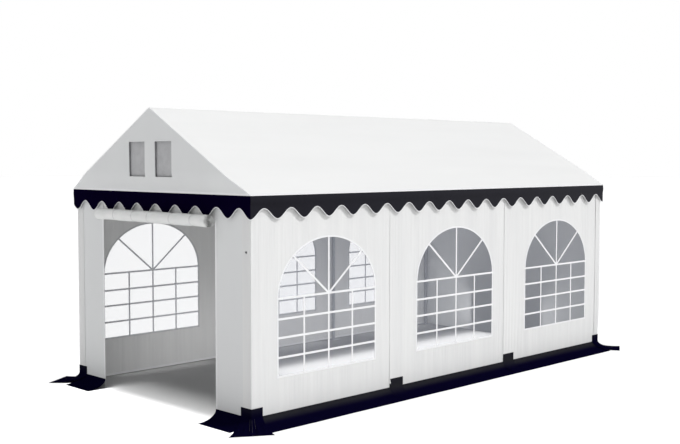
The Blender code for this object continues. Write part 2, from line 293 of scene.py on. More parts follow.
def skirt_cloth(name, foot, head):
    """Black cloth that gets greyer with height, from foot to head: a painted sheen."""
    material, tree, shader, coordinates = new_material(name)
    set_values(shader, {"Specular IOR Level": 0.0, "Roughness": 0.6})
    split = tree.nodes.new("ShaderNodeSeparateXYZ")
    tree.links.new(coordinates, split.inputs[0])
    height = add_node(tree, "ShaderNodeMapRange", {"From Min": foot, "From Max": head})
    height.interpolation_type = "SMOOTHSTEP"
    tree.links.new(split.outputs["Z"], height.inputs["Value"])
    # Uneven strength for the painted sheen.
    painted_sheen_spread = remap(tree, noise_texture(tree, coordinates, (3.0, 3.0, 20.0)), 0.75, 1.05)
    share = math_node(tree, "ShaderNodeMath", "MULTIPLY", height.outputs["Result"], painted_sheen_spread)
    tint(tree, shader, share.outputs[0], (0.022, 0.022, 0.026), (0.0020, 0.0014, 0.0130))
    tree.links.new(creased(tree, coordinates, (8.0, 8.0, 8.0), 0.2, 0.004), shader.inputs["Normal"])
    return material


def clear_film(name):
    material, tree, shader, coordinates = new_material(name)
    ripples = noise_texture(tree, coordinates, (3, 3, 2), detail=2.0)
    tint(tree, shader, remap(tree, ripples, 0.0, 1.0), (0.52, 0.55, 0.66), (0.46, 0.49, 0.60))
    set_values(shader, {"Alpha": 0.10, "Specular IOR Level": 0.3})
    tree.links.new(remap(tree, ripples, 0.05, 0.12), shader.inputs["Roughness"])
    tree.links.new(bump(tree, ripples, 0.02, 0.25), shader.inputs["Normal"])
    return material


def galvanised_steel(name):
    material, tree, shader, coordinates = new_material(name)
    shader.inputs["Metallic"].default_value = 0.9
    spangle = add_node(tree, "ShaderNodeTexVoronoi", {"Scale": 90.0})
    tree.links.new(coordinates, spangle.inputs["Vector"])
    tint(tree, shader, spangle.outputs["Distance"], (0.62, 0.63, 0.65), (0.46, 0.47, 0.50))
    scuffs = noise_texture(tree, coordinates, (25, 25, 8))
    tree.links.new(remap(tree, scuffs, 0.28, 0.50), shader.inputs["Roughness"])
    tree.links.new(bump(tree, scuffs, 0.0006, 0.2), shader.inputs["Normal"])
    return material


# The roof, walls, gables and rolled door are all the same white PVC. The roof's and the roll's lighter tones
# are painted light, and the slightly darker, cooler tone of the end walls and gables is painted shade.
ROOF_CLOTH = coated_cloth("roof_cloth", (0.88, 0.88, 0.875), (0.85, 0.85, 0.845), 0.50, (6.0, 0.9, 6.0))
WALL_CLOTH = coated_cloth(
    "wall_cloth", (0.80, 0.80, 0.795), (0.75, 0.75, 0.75), 0.52, (26.0, 26.0, 1.1), crease=0.60
)
END_CLOTH = coated_cloth("end_cloth", (0.77, 0.78, 0.78), (0.75, 0.755, 0.76), 0.52, (6.0, 6.0, 1.5))
HEM_CLOTH = coated_cloth("hem_cloth", (0.88, 0.88, 0.89), (0.84, 0.84, 0.85), 0.45, (9.0, 9.0, 9.0))
BAR_CLOTH = coated_cloth("bar_cloth", (0.90, 0.90, 0.91), (0.86, 0.86, 0.87), 0.40, (9.0, 9.0, 9.0))
ROLL_CLOTH = coated_cloth("roll_cloth", (0.88, 0.88, 0.87), (0.80, 0.81, 0.80), 0.5, (12, 12, 12), crease=0.4)
TRIM_TONES = ((0.0035, 0.0030, 0.010), (0.0020, 0.0016, 0.0075))
BLACK_CLOTH = coated_cloth("black_cloth", *TRIM_TONES, 0.42, (10.0, 10.0, 10.0), specular=0.24, crease=0.2)
# The end bands' copy of the black cloth has no gloss and a deeper navy tone: painted shade on the ends.
END_TONES = ((0.0026, 0.0008, 0.0125), (0.0016, 0.0004, 0.0095))
END_BLACK_CLOTH = coated_cloth("end_black_cloth", *END_TONES, 0.5, (10, 10, 10), specular=0.0, crease=0.2)
# The greyer tops of the skirts and joint covers are painted sheen. On the end skirts and corner patches it
# starts higher up, so they stay black, as painted shade.
SKIRT_CLOTH = skirt_cloth("skirt_cloth", 0.030, 0.085)
COVER_CLOTH = skirt_cloth("cover_cloth", 0.020, 0.120)
END_SKIRT_CLOTH = skirt_cloth("end_skirt_cloth", 0.090, 0.300)
# Dark grey for the vents' pocket sides: painted shade in the recesses.
POCKET_SHADE_CLOTH = coated_cloth("pocket_shade_cloth", (0.26, 0.26, 0.27), (0.20, 0.20, 0.21), 0.7, (20, 20, 20))
MESH_CLOTH = coated_cloth(
    "mesh_cloth", (0.52, 0.52, 0.53), (0.44, 0.44, 0.45), 0.8, (30.0, 30.0, 30.0), thread=0.0025
)
WEBBING = coated_cloth("webbing", (0.80, 0.80, 0.80), (0.68, 0.68, 0.68), 0.75, (60, 60, 60), thread=0.002)
# Grey cord on the black patches: painted highlight along the gathers.
HIGHLIGHT_CORD = coated_cloth(
    "highlight_cord", (0.05, 0.05, 0.06), (0.02, 0.02, 0.03), 0.7, (60, 60, 60), thread=0.002
)
FILM = clear_film("window_film")
STEEL = galvanised_steel("galvanised_steel")
EYELET_STEEL = galvanised_steel("eyelet_steel")


# Making sheets


def new_object(name, data):
    made = bpy.data.objects.new(name, data)
    bpy.context.scene.collection.objects.link(made)
    return made


def new_piece(name, mesh, material, nodes=()):
    """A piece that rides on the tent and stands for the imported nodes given."""
    mesh.materials.append(material)
    piece = new_object(name, mesh)
    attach(piece, "root")
    if nodes:
        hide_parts(*nodes)
    return piece


def facing(mesh, outward):
    """Turn the faces so that they look along outward, which is a direction or gives one for a place."""
    seen = 0.0
    for polygon in mesh.polygons:
        ahead = outward(polygon.center) if callable(outward) else Vector(outward)
        seen += polygon.area * polygon.normal.dot(ahead)
    if seen < 0:
        mesh.flip_normals()


def faced_mesh(name, verts, faces, outward):
    mesh = bpy.data.meshes.new(name)
    mesh.from_pydata(verts, [], faces)
    facing(mesh, outward)
    return mesh


def grid_mesh(name, columns, rows, point, outward):
    """A sheet of quads through point(u, v), for u and v from 0 to 1."""
    verts = [point(i / columns, j / rows) for j in range(rows + 1) for i in range(columns + 1)]
    faces = []
    for j in range(rows):
        for i in range(columns):
            first = j * (columns + 1) + i
            faces.append((first, first + 1, first + columns + 2, first + columns + 1))
    return faced_mesh(name, verts, faces, outward)


def inside(spot, ring):
    """Whether a flat spot lies inside a closed ring of points."""
    x, y = spot
    crossings = 0
    for (ax, ay), (bx, by) in zip(ring, ring[1:] + ring[:1]):
        if (ay > y) != (by > y) and x < ax + (y - ay) * (bx - ax) / (by - ay):
            crossings += 1
    return crossings % 2 == 1


def from_ring(spot, ring):
    """Distance from a flat spot to the nearest edge of a ring."""
    spot = Vector(spot)
    nearest = math.inf
    for start, stop in zip(ring, ring[1:] + ring[:1]):
        start, along = Vector(start), Vector(stop) - Vector(start)
        share = min(max((spot - start).dot(along) / along.length_squared, 0.0), 1.0)
        nearest = min(nearest, (spot - start - along * share).length)
    return nearest


def cut_mesh(name, outline, holes, columns, rows, place, outward, clear=0.008):
    """A pattern cut with holes, meshed through the crossings of columns and rows, and laid out by place."""
    points, loops = [], []
    for ring in (outline, *holes):
        loops.append(list(range(len(points), len(points) + len(ring))))
        points += [Vector(spot) for spot in ring]
    for a in columns:
        for b in rows:
            spot = (a, b)
            if not inside(spot, outline) or any(inside(spot, ring) for ring in holes):
                continue
            if all(from_ring(spot, ring) > clear for ring in (outline, *holes)):
                points.append(Vector(spot))
    verts, _, faces, _, _, origins = delaunay_2d_cdt(points, [], loops, 1, 1e-6)
    kept = [face for face, origin in zip(faces, origins) if list(origin) == [0]]
    return faced_mesh(name, [place(a, b) for a, b in verts], kept, outward)


def spread(start, stop, pitch):
    """Evenly spaced values from start to stop, about a pitch apart."""
    steps = max(1, round(abs(stop - start) / pitch))
    return [lerp(start, stop, step / steps) for step in range(steps + 1)]


def rectangle(left, right, bottom, top, pitch=None):
    """A rectangle's outline, with points along its edges where a pitch is given."""
    if pitch is None:
        return [(left, bottom), (right, bottom), (right, top), (left, top)]
    ring = [(a, bottom) for a in spread(left, right, pitch)[:-1]]
    ring += [(right, b) for b in spread(bottom, top, pitch)[:-1]]
    ring += [(a, top) for a in spread(right, left, pitch)[:-1]]
    return ring + [(left, b) for b in spread(top, bottom, pitch)[:-1]]


def arch(middle, grown=0.0):
    """The outline of a window, grown by a margin on every side."""
    half, rise = WINDOW_HALF + grown, WINDOW_TOP - WINDOW_SPRING + grown
    left, right, foot = middle - half, middle + half, WINDOW_FOOT - grown
    ring = [(a, foot) for a in spread(left, right, ARCH_PITCH)[:-1]]
    ring += [(right, b) for b in spread(foot, WINDOW_SPRING, ARCH_PITCH)[:-1]]
    for step in range(ARCH_STEPS + 1):
        turn = math.pi * step / ARCH_STEPS
        ring.append((middle + half * math.cos(turn), WINDOW_SPRING + rise * math.sin(turn)))
    return ring + [(left, b) for b in spread(WINDOW_SPRING, foot, ARCH_PITCH)[1:-1]]


THICKENED = []


def thicken(piece, thickness, offset=-1.0):
    """Give a sheet its thickness behind its face, or about it with offset 0."""
    shell = piece.modifiers.new("thickness", "SOLIDIFY")
    shell.thickness = thickness
    shell.offset = offset
    shell.use_even_offset = True
    THICKENED.append(piece)
    return piece


def make_sheet(name, columns, rows, point, outward, cloth, thickness, nodes=(), offset=-1.0):
    """A piece of cloth through point(u, v), for u and v from 0 to 1."""
    piece = new_piece(name, grid_mesh(name, columns, rows, point, outward), cloth, nodes)
    return thicken(piece, thickness, offset)


def settle_meshes():
    """Apply every sheet's thickness, and shade it smooth but for its cut edges."""
    bpy.context.view_layer.update()
    depsgraph = bpy.context.evaluated_depsgraph_get()
    for piece in THICKENED:
        mesh = bpy.data.meshes.new_from_object(piece.evaluated_get(depsgraph))
        mesh.name = piece.name
        piece.modifiers.clear()
        piece.data = mesh
        mesh.shade_smooth()
        mesh.set_sharp_from_angle(angle=math.radians(40))


def piping(name, paths, radius, material, closed=False):
    """Round cord or welt sewn along one or more paths."""
    curve = bpy.data.curves.new(name, "CURVE")
    curve.dimensions = "3D"
    curve.bevel_depth = radius
    curve.bevel_resolution = 3
    curve.use_fill_caps = True
    for path in paths:
        spline = curve.splines.new("POLY")
        spline.points.add(len(path) - 1)
        for point, spot in zip(spline.points, path):
            point.co = (*spot, 1.0)
        spline.use_cyclic_u = closed
    return new_piece(name, curve, material)


# Roof


def roof_section(along):
    """Place and outward direction on the roof, at a length along it from the ridge, as (x, z) pairs."""
    bend = RIDGE_BEND * ROOF_SLOPE
    ridge_z = RIDGE - RIDGE_BEND / math.cos(ROOF_SLOPE)
    side = math.copysign(1, along)
    turn = min(abs(along) / RIDGE_BEND, ROOF_SLOPE)
    run = max(abs(along) - bend, 0.0)
    x = RIDGE_BEND * math.sin(turn) + run * math.cos(ROOF_SLOPE)
    z = ridge_z + RIDGE_BEND * math.cos(turn) - run * math.sin(ROOF_SLOPE)
    return (side * x, z), (side * math.sin(turn), math.cos(turn))


def roof_reach():
    """Length of the roof cloth from the ridge to the eave."""
    straight = ROOF_HALF / math.cos(ROOF_SLOPE) - RIDGE_BEND * math.tan(ROOF_SLOPE)
    return straight + RIDGE_BEND * ROOF_SLOPE


def roof_dip(along, y):
    """How far the roof cloth lies below a plane: it hangs a little between the rafters."""
    down = abs(along) / roof_reach()
    bay = math.sin(math.pi * (y + WALL_Y) / (2 * BAY_LINE)) ** 2
    hang = ROOF_SAG * bay * math.sin(math.pi * min(down, 1.0)) ** 1.5
    ease = smooth(min(down, 1 - down) / 0.12) * smooth((ROOF_END - abs(y)) / 0.25)
    creases = 0.0016 * drift(1, along * 1.1, y * 3.2) + 0.0007 * drift(2, along * 3, y * 9)
    return hang * smooth((ROOF_END - abs(y)) / 0.1) + ease * creases


def end_swell(z):
    """How far the cloth of a gable, and the roof's end above it, stands out beyond the eaves' ends."""
    return END_SWELL * smooth((z - EAVE) / 0.20)


def make_roof():
    reach = roof_reach()

    def point(u, v):
        along, y = lerp(-reach, reach, u), lerp(-ROOF_END, ROOF_END, v)
        (x, z), (out_x, out_z) = roof_section(along)
        dip = roof_dip(along, y)
        swell = end_swell(z) * smooth((abs(y) - ROOF_END + 0.9) / 0.9)
        return (x - out_x * dip, y + math.copysign(swell, y), z - out_z * dip)

    nodes = ("roof_right", "roof_left")
    roof = make_sheet("roof_cover", 88, 120, point, (0, 0, 1), ROOF_CLOTH, PVC, nodes)
    trims = [make_eave_hem(side, sign, reach) for side, sign in SIDES]
    for end, sign in ENDS:
        path = []
        for along in spread(-reach, reach, 0.06):
            (x, z), (out_x, out_z) = roof_section(along)
            y = sign * (ROOF_END + end_swell(z))
            path.append((x - out_x * END_PIPING * 0.6, y, z - out_z * END_PIPING * 0.6))
        trims.append(piping(f"roof_welt_{end}", [path], END_PIPING, HEM_CLOTH))


def make_eave_hem(side, sign, reach):
    """The doubled lower edge of the roof, folded down over the valance's seam."""
    section = []
    for share in (0.0, 0.5, 0.85):
        (x, z), (out_x, out_z) = roof_section(lerp(reach - EAVE_HEM, reach, share))
        section.append((x + out_x * HEM, z + out_z * HEM))
    for turn in spread(ROOF_SLOPE, math.pi / 2, 0.35):
        x = ROOF_HALF - 0.002 + (HEM + 0.003) * math.sin(turn)
        section.append((x, EAVE - 0.002 + (HEM + 0.003) * math.cos(turn)))
    section.append((ROOF_HALF + HEM + 0.001, EAVE - 0.002 - EAVE_FOLD))

    def point(u, v):
        x, z = section[round(v * (len(section) - 1))]
        y = lerp(-ROOF_END, ROOF_END, u)
        wave = 0.0006 * drift(5 + sign, y * 4)
        return (sign * (x + wave), y, z)

    name, rows = f"eave_hem_{side}", len(section) - 1
    return make_sheet(name, 150, rows, point, (sign, 0, 1), HEM_CLOTH, HEM)


# Gables


def make_gables():
    half = ROOF_HALF - 0.004
    base = VALANCE_TOP + 0.001
    peak = RIDGE - RIDGE_BEND / math.cos(ROOF_SLOPE) + RIDGE_BEND - PVC - 0.002
    slope = math.tan(ROOF_SLOPE)
    for end, sign in ENDS:
        ring = [(a, base) for a in spread(-half, half, 0.1)]
        shoulder = EAVE + (ROOF_HALF - half) * slope - PVC / math.cos(ROOF_SLOPE) - 0.001
        crown = (RIDGE - peak) / slope
        rake = [(a, shoulder + (half - a) * slope) for a in spread(half, crown, 0.1)]
        ring += [*rake, *((-a, b) for a, b in reversed(rake))]
        vents = [rectangle(*vent, VENT_FOOT, VENT_TOP, 0.05) for vent in VENTS]

        def place(a, b):
            ease = smooth(min(from_ring((a, b), ring), *(from_ring((a, b), v) for v in vents)) / 0.12)
            ripple = 0.0022 * (0.6 + drift(11 + sign, a * 2.5, b * 2.0)) * ease
            return (a, sign * (GABLE_FACE + end_swell(b) - ripple), b)

        columns, rows = spread(-half, half, 0.045)[1:-1], spread(base, RIDGE, 0.045)[1:-1]
        mesh = cut_mesh(f"gable_{end}", ring, vents, columns, rows, place, (0, sign, 0))
        gable = new_piece(f"gable_cloth_{end}", mesh, END_CLOTH, (f"gable_{end}",))
        thicken(gable, PVC)
        trims = [make_gable_hem(end, sign, half, base), *make_vent_edges(end, sign)]
        make_vent_screen(end, sign)


def make_gable_hem(end, sign, half, base):
    """The doubled lower edge of a gable, above the valance's seam."""
    face = ROOF_END + HEM

    def point(u, v):
        a = lerp(-half - 0.004, half + 0.004, u)
        b = lerp(base - 0.004, base + EAVE_HEM - 0.004, v)
        b = min(b, EAVE + (ROOF_HALF - abs(a)) * math.tan(ROOF_SLOPE))
        bulge = 0.0008 * math.sin(math.pi * v)
        return (a, sign * (face + bulge), b)

    return make_sheet(f"gable_hem_{end}", 80, 4, point, (0, sign, 0), HEM_CLOTH, HEM)


def make_vent_edges(end, sign):
    """Welded borders round both vents, and the pockets behind them, down to the screen. The pockets' dark
    grey is painted shade in the recesses.
    """
    front, back = ROOF_END + 0.0004, GABLE_FACE - VENT_DEPTH
    border = ((VENT_BORDER, front - 0.001), (VENT_BORDER, front), (0.001, front), (0.0, front - 0.002))
    pocket = ((0.0, front - 0.0025), (-0.001, back))
    kinds = (("borders", border, END_CLOTH), ("pockets", pocket, POCKET_SHADE_CLOTH))
    return [make_vent_rings(f"vent_{kind}_{end}", sign, rings, cloth) for kind, rings, cloth in kinds]


def make_vent_rings(name, sign, steps, cloth):
    """Rings of faces round both vents, through steps of (margin, y)."""
    verts, faces = [], []
    for low, high in VENTS:
        rings = []
        for margin, y in steps:
            corners = rectangle(low - margin, high + margin, VENT_FOOT - margin, VENT_TOP + margin)
            rings.append(range(len(verts), len(verts) + 4))
            verts += [(a, sign * (y + end_swell(b)), b) for a, b in corners]
        for outer, inner in zip(rings, rings[1:]):
            for i in range(4):
                j = (i + 1) % 4
                faces.append((outer[i], outer[j], inner[j], inner[i]))
    middle = (VENT_INNER + VENT_OUTER) / 2

    def outward(place):
        toward = Vector((math.copysign(middle, place.x) - place.x, 0, (VENT_FOOT + VENT_TOP) / 2 - place.z))
        return toward + Vector((0, sign, 0))

    mesh = faced_mesh(name, verts, faces, outward)
    return thicken(new_piece(name, mesh, cloth), 0.0008)


def make_vent_screen(end, sign):
    reach, y = VENT_OUTER + FILM_LAP, GABLE_FACE - VENT_DEPTH - CLEAR

    def point(u, v):
        a, b = lerp(-reach, reach, u), lerp(VENT_FOOT - FILM_LAP, VENT_TOP + FILM_LAP, v)
        return (a, sign * (y + end_swell(b) - 0.001 * smooth(v) * abs(drift(13, a * 6, b * 6))), b)

    name, nodes = f"vent_netting_{end}", (f"vent_screen_{end}",)
    screen = make_sheet(name, 32, 16, point, (0, sign, 0), MESH_CLOTH, CLEAR, nodes)


# Valance


def scallop(wave):
    """Height of the valance's lower edge, at a number of scallops from a tip."""
    return VALANCE_FOOT + SCALLOP_DEPTH * (1 - math.cos(2 * math.pi * wave)) / 2


def valance_relief(along, z, seed, inward_only):
    """How far the hanging band stands out from its plane."""
    drop = (VALANCE_TOP - z) / (VALANCE_TOP - VALANCE_FOOT)
    roll = 0.0065 * math.sin(math.pi * min(drop / 0.45, 1.0))
    sway = 0.008 * smooth(drop) * drift(seed, along * 1.7, drop * 0.6)
    sway += 0.003 * smooth(drop) * drift(seed + 1, along * 6)
    if inward_only:
        return -abs(sway) - 0.0005
    return roll + sway


def make_valance(tag, half, waves, place, cloth, inward_only=False):
    """One scalloped band with its light binding.

    place(a, out, z) gives the spot in the frame, and waves the scallops past a tip at its two ends.
    """
    name, nodes = f"scalloped_band_{tag}", (f"valance_{tag}",)
    seed = sum(map(ord, name)) % 17
    columns = round(abs(waves[1] - waves[0]) * SCALLOP_STEPS)
    top = VALANCE_TOP - 0.0005

    def spot(u, z, extra=0.0):
        a = lerp(-half, half, u)
        return place(a, valance_relief(a, z, seed, inward_only) + extra, z)

    def band_point(u, v):
        return spot(u, lerp(top, scallop(lerp(*waves, u)) + 0.001, v))

    def binding_point(u, v):
        wave = lerp(*waves, u)
        slant = abs(math.sin(2 * math.pi * wave)) * 0.9
        return spot(u, scallop(wave) + lerp(BINDING * math.hypot(1, slant), 0, v), 0.0008)

    outward = Vector(place(0, 1, 0)) - Vector(place(0, 0, 0))
    band = make_sheet(name, columns, 10, band_point, outward, cloth, PVC, nodes)
    trim_name, thickness = f"{name}_binding", PVC + 0.0016
    trim = make_sheet(trim_name, columns, 2, binding_point, outward, HEM_CLOTH, thickness)


def make_valances():
    """Bands with a tip at both right-hand corners, whose wave runs on round the left-hand ones."""
    past = END_SCALLOPS - math.floor(END_SCALLOPS)
    for end, sign in ENDS:
        waves, place = (END_SCALLOPS, 0.0), on_plane(sign, ROOF_END, end=True)
        make_valance(end, ROOF_HALF, waves, place, END_BLACK_CLOTH, sign < 0)
    for side, sign in SIDES:
        start = 0.0 if sign > 0 else -past
        waves, place = (start + SIDE_SCALLOPS, start), on_plane(sign, ROOF_HALF)
        make_valance(side, ROOF_END, waves, place, BLACK_CLOTH)


# Walls


def side_line(a):
    """Where a side wall runs in plan, as (x, y) and its outward direction. It turns round the corners."""
    end = math.copysign(1, a)
    middle = (WALL_X - CORNER_BEND, WALL_Y + CORNER_PROUD - CORNER_BEND)
    over = abs(a) - middle[1]
    turn = min(max(over / CORNER_BEND, 0.0), math.pi / 2)
    past = max(over - CORNER_BEND * math.pi / 2, 0.0)
    x = middle[0] + CORNER_BEND * math.cos(turn) - past
    y = min(abs(a), middle[1]) + CORNER_BEND * math.sin(turn)
    return (x, end * y), (math.cos(turn), end * math.sin(turn))


def wall_relief(a, b, window, seed):
    """How far a side wall lies behind its plane: long upright creases that fade at seams and window."""
    ease = smooth((b - 0.10) / 0.25) * smooth((WALL_TOP - b) / 0.15 + 0.2)
    ease *= smooth(from_ring((a, b), window) / 0.10)
    ease *= smooth(min(abs(a - BAY_LINE), abs(a + BAY_LINE)) / 0.08)
    long_creases = 0.0035 * drift(seed, a * 4.5, b * 0.8)
    fine_creases = 0.0012 * drift(seed + 3, a * 16, b * 1.6)
    fan = 0.0012 * drift(seed + 5, (a + 0.25 * b) * 11, b * 1.2)
    return ease * (0.0015 + long_creases + fine_creases + fan)


def wall_seed(side, bay):
    return 20 + 3 * bay + (40 if side == "left" else 0)


def make_side_wall(side, sign, bay, start, stop):
    """One bay's wall with its arched hole. The outer bays turn round the corners."""
    middle = (start + stop) / 2
    bend = CORNER_BEND * math.pi / 2
    corner = WALL_Y + CORNER_PROUD - CORNER_BEND
    seam = 0.0003
    first = -(corner + bend + CORNER_WRAP) if bay == 1 else start + seam
    last = corner + bend + CORNER_WRAP if bay == 3 else stop - seam
    window = arch(middle)
    columns = [a for a in spread(start, stop, 0.022) if abs(a) < corner]
    if bay != 2:
        towards_end = 1 if bay == 3 else -1
        columns += [towards_end * (corner + bend * share) for share in (0, 0.25, 0.5, 0.75, 1)]
        columns += [towards_end * (corner + bend + past) for past in spread(0, CORNER_WRAP, 0.02)[1:-1]]
    columns = sorted(a for a in columns if first < a < last)
    rows = spread(WALL_FOOT, WALL_TOP - 0.002, 0.055)
    outline = [(a, rows[0]) for a in [first, *columns, last]]
    outline += [(last, b) for b in rows[1:-1]]
    outline += [(a, rows[-1]) for a in reversed([first, *columns, last])]
    outline += [(first, b) for b in reversed(rows[1:-1])]

    def place(a, b):
        (x, y), (out_x, out_y) = side_line(a)
        depth = wall_relief(a, b, window, wall_seed(side, bay))
        if abs(a) > corner:
            depth = 0.0
        return (sign * (x - out_x * depth), y - out_y * depth, b)

    tag = f"{side}_{bay}"
    mesh = cut_mesh(f"wall_cloth_{tag}", outline, [window], columns, rows[1:-1], place, (sign, 0, 0), 0.0)
    wall = new_piece(f"wall_cloth_{tag}", mesh, WALL_CLOTH, (f"side_wall_{tag}",))
    thicken(wall, PVC)
    hole = 2 * WINDOW_HALF * (WINDOW_SPRING - WINDOW_FOOT)
    hole += math.pi / 2 * WINDOW_HALF * (WINDOW_TOP - WINDOW_SPRING)


def pane(middle, start_angle, stop_angle):
    """A window pane in the arch, between two rays from the middle of its springing."""
    wide, tall = WINDOW_HALF, WINDOW_TOP - WINDOW_SPRING
    rays = []
    for angle, side in ((start_angle, 1), (stop_angle, -1)):
        turn = math.radians(angle)
        along = Vector((math.cos(turn), math.sin(turn)))
        off = Vector((-along.y, along.x)) * side * BAR_HALF
        rays.append((along, off))
    (along, off), (other, other_off) = rays
    gap = other_off - off
    reach = (gap.x * other.y - gap.y * other.x) / (along.x * other.y - along.y * other.x)
    corner = off + along * reach
    turns = []
    for ray, shift in rays:
        a = (ray.x / wide) ** 2 + (ray.y / tall) ** 2
        b = 2 * (shift.x * ray.x / wide**2 + shift.y * ray.y / tall**2)
        c = (shift.x / wide) ** 2 + (shift.y / tall) ** 2 - 1
        hit = shift + ray * ((-b + math.sqrt(b * b - 4 * a * c)) / (2 * a))
        turns.append(math.atan2(hit.y / tall, hit.x / wide))
    ring = [corner]
    ring += [Vector((wide * math.cos(t), tall * math.sin(t))) for t in spread(*turns, 0.12)]
    return [(middle + spot.x, WINDOW_SPRING + spot.y) for spot in ring]


def make_window(side, sign, bay, start, stop):
    """Clear film behind a wall's hole, and the white frame and bars welded in front of it."""
    middle = (start + stop) / 2
    tag = f"{side}_{bay}"
    film_x = WALL_X - PVC - CLEAR
    seed = 60 + bay + (10 if sign < 0 else 0)
    film_ring = arch(middle, FILM_LAP)
    frame_ring = arch(middle, FRAME_EDGE)

    def on_film(a, b):
        bow = 0.004 * smooth(from_ring((a, b), film_ring) / 0.3) * (0.4 + drift(seed, a * 1.6, b * 1.2))
        return (sign * (film_x - max(bow, 0)), a, b)

    def on_bars(a, b):
        return (sign * (WALL_X + CLEAR + BAR_DEPTH), a, b)

    columns = spread(middle - WINDOW_HALF, middle + WINDOW_HALF, 0.06)
    rows = spread(WINDOW_FOOT, WINDOW_TOP, 0.06)
    mesh = cut_mesh(f"film_{tag}", film_ring, [], columns, rows, on_film, (sign, 0, 0))
    film = thicken(new_piece(f"window_sheet_{tag}", mesh, FILM, (f"window_{tag}",)), CLEAR)

    panes = [pane(middle, *angles) for angles in zip(WINDOW_RAYS, WINDOW_RAYS[1:])]
    levels = [WINDOW_SPRING, *WINDOW_BARS, WINDOW_FOOT - BAR_HALF]
    edge = WINDOW_HALF + BAR_HALF
    uprights = [-edge, -WINDOW_HALF / 2, 0, WINDOW_HALF / 2, edge]
    for high, low in zip(levels, levels[1:]):
        for left, right in zip(uprights, uprights[1:]):
            box = (middle + left + BAR_HALF, middle + right - BAR_HALF, low + BAR_HALF, high - BAR_HALF)
            panes.append(rectangle(*box))
    mesh = cut_mesh(f"bars_{tag}", frame_ring, panes, [], [], on_bars, (sign, 0, 0))
    bars = thicken(new_piece(f"window_bars_{tag}", mesh, BAR_CLOTH), BAR_DEPTH)


def make_seam_flap(side, sign, number, line):
    """The overlap that closes the joint between two bays: loose at one edge and welded at the other."""
    top = VALANCE_FOOT + SCALLOP_DEPTH
    window = arch(line - BAY_LINE)

    def point(u, v):
        a = line + lerp(*SEAM_FLAP, u)
        b = lerp(COVER_TOP - 0.05, top, v)
        under = wall_relief(a, b, window, wall_seed(side, number)) if a < line else 0.0
        loose = 0.0035 + 0.0010 * drift(80 + number, b * 2)
        return (sign * (WALL_X - under + lerp(loose, 0.0002, smooth(u))), a, b)

    name = f"seam_flap_{side}_{number}"
    flap = make_sheet(name, 14, 60, point, (sign, 0, 0), WALL_CLOTH, HEM)


def make_corner_flap(side, sign):
    """The loose flap down a back corner, which closes the joint of the side and the back wall."""
    foot, top = PATCH_TOP + 0.012, VALANCE_FOOT + SCALLOP_DEPTH
    start, stop = CORNER_FLAP

    def point(u, v):
        (x, y), (out_x, out_y) = side_line(lerp(start, stop, u))
        b = lerp(foot, top, v)
        slack = FLAP_SLACK * math.sin(math.pi * min(u / 0.9, 1.0)) ** 2 * (0.8 + 0.4 * drift(86, b * 1.3))
        lift = lerp(0.0045, 0.0015, u) + slack * smooth((b - foot) / 0.3)
        return (sign * (x + out_x * lift), y + out_y * lift, b)

    name = f"corner_flap_{side}"
    flap = make_sheet(name, 24, 60, point, (sign, 0.3, 0), WALL_CLOTH, HEM)


def make_foot_hem(side, sign):
    """The welded hem along the inside of a side wall's foot."""
    half = WALL_Y - 0.03

    def point(u, v):
        crown = 0.0012 * math.sin(math.pi * v)
        return (sign * (WALL_X - PVC - 0.0006 - crown), lerp(-half, half, u), WALL_FOOT + FOOT_HEM * v)

    name = f"foot_hem_{side}"
    hem = make_sheet(name, 60, 4, point, (-sign, 0, 0), HEM_CLOTH, 0.0006)


def end_wall_relief(a, b, seed, half):
    """How far a front or back wall lies behind its plane."""
    ease = smooth((b - 0.10) / 0.25) * smooth((half - abs(a)) / 0.06 + 0.1)
    fine_creases = 0.0008 * drift(seed + 1, a * 12, b * 1.5)
    return ease * (0.0012 + 0.0028 * drift(seed, a * 3.5, b * 0.7) + fine_creases)


def make_end_walls():
    corner = WALL_X - PVC - 0.003
    for side, sign in SIDES:
        left, right = sorted((sign * DOOR_HALF, sign * corner))

        def point(u, v, left=left, right=right, sign=sign):
            a, b = lerp(left, right, u), lerp(WALL_FOOT, END_WALL_TOP, v)
            depth = end_wall_relief(a, b, 90 + sign, corner)
            return (a, -WALL_Y + depth * smooth((abs(a) - DOOR_HALF) / 0.05), b)

        name, nodes = f"front_cloth_{side}", (f"front_wall_{side}",)
        panel = make_sheet(name, 26, 44, point, (0, -1, 0), END_CLOTH, PVC, nodes)
        trims = [make_door_edge(side, sign)]

    def point(u, v):
        a, b = lerp(-corner, corner, u), lerp(WALL_FOOT, END_WALL_TOP, v)
        return (a, WALL_Y - end_wall_relief(a, b, 95, corner), b)

    nodes = ("back_wall",)
    back = make_sheet("back_cloth", 120, 44, point, (0, 1, 0), END_CLOTH, PVC, nodes)


def make_door_edge(side, sign):
    """The zip tape down one side of the doorway."""

    def point(u, v):
        a = sign * (DOOR_HALF + lerp(-0.001, DOOR_ZIP, u))
        b = lerp(SKIRT_TOP, VALANCE_FOOT + 0.02, v)
        crown = 0.0014 * math.sin(math.pi * u)
        return (a, -WALL_Y - 0.0008 - crown, b)

    name = f"door_zip_{side}"
    return make_sheet(name, 8, 60, point, (0, -1, 0), HEM_CLOTH, 0.0008)


# Rolled door


